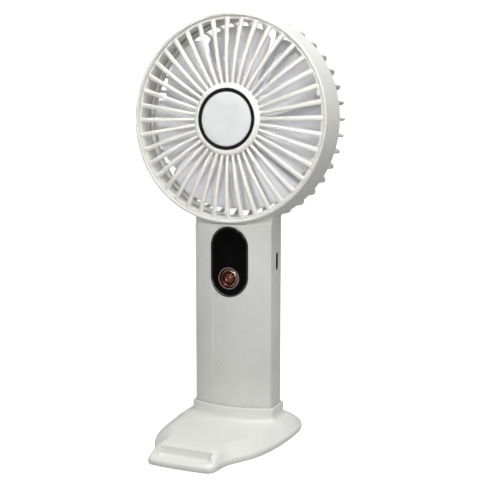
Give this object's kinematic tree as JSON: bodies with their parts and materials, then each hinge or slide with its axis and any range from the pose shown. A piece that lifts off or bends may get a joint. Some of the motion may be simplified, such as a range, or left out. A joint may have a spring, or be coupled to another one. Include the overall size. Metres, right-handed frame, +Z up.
{
  "type": "handheld electric fan",
  "caption": "Handheld fan with a round guarded head, flat-sided handle, display panel and button, standing in a foot with a phone slot.",
  "frame": {"origin": "on the surface that the foot's pad rests on, under the middle of the handle", "axes": "+Z up, along the handle; the fan blows towards -Y, and the foot's nose points to -Y; +X is to the right seen from the front"},
  "size_m": [0.1026, 0.0884, 0.2063],
  "materials": {
    "shell_white": "satin moulded ABS",
    "cover_white": "textured moulded ABS",
    "screw_steel": "zinc plated",
    "pad_rubber": "matte sheet",
    "trim_black": "gloss",
    "disc_silver_white": "satin",
    "core_steel": "stacked laminations",
    "coil_copper": "enamelled wire",
    "board_green": "solder mask",
    "bearing_steel": "polished",
    "lead_black": "matte insulation",
    "lens_black": "polished",
    "display_white": "moulded reflector",
    "chip_black": "moulded epoxy",
    "battery_wrap": "shrink sleeve over a metal can",
    "lead_red": "matte insulation",
    "can_steel": "drawn and nickel plated",
    "magnet_grey": "bonded ferrite",
    "impeller_grey": "translucent moulding",
    "button_rose": "turned and anodised rose gold",
    "plunger_grey": "moulded"
  },
  "bodies": {
    "stand": {"stand_shell": "shell_white", "stand_cover": "cover_white", "stand_screws": "screw_steel", "stand_pad": "pad_rubber"},
    "fan": {"front_housing": "shell_white", "handle_back": "shell_white", "handle_screws": "screw_steel", "front_grille": "shell_white", "hub_ring": "trim_black", "hub_disc": "disc_silver_white", "rear_grille": "shell_white", "rear_cap": "shell_white", "motor_base": "screw_steel", "stator_core": "core_steel", "stator_coils": "coil_copper", "motor_board": "board_green", "motor_bearings": "bearing_steel", "motor_screws": "screw_steel", "motor_leads": "lead_black", "panel_bezel": "trim_black", "panel_lens": "lens_black", "display_module": "display_white", "main_board": "board_green", "board_chips": "chip_black", "board_screws": "screw_steel", "usb_port": "bearing_steel", "tact_switch": "chip_black", "battery_cell": "battery_wrap", "battery_leads": "lead_red"},
    "rotor": {"motor_shaft": "bearing_steel", "rotor_can": "can_steel", "magnet_ring": "magnet_grey", "impeller": "impeller_grey"},
    "button": {"power_button": "button_rose", "switch_plunger": "plunger_grey"}
  },
  "joints": [
    {"name": "lift_out", "type": "slide", "parent": "stand", "child": "fan", "axis": [0, 0, 1], "range_m": [0, 0.03]},
    {"name": "fan_spin", "type": "hinge", "parent": "fan", "child": "rotor", "pos_m": [0, 0, 0.155], "axis": [0, -1, 0], "continuous": true},
    {"name": "button_press", "type": "slide", "parent": "fan", "child": "button", "axis": [0, 1, 0], "range_m": [0, 0.0004], "stiffness_N_per_m": 2500}
  ]
}
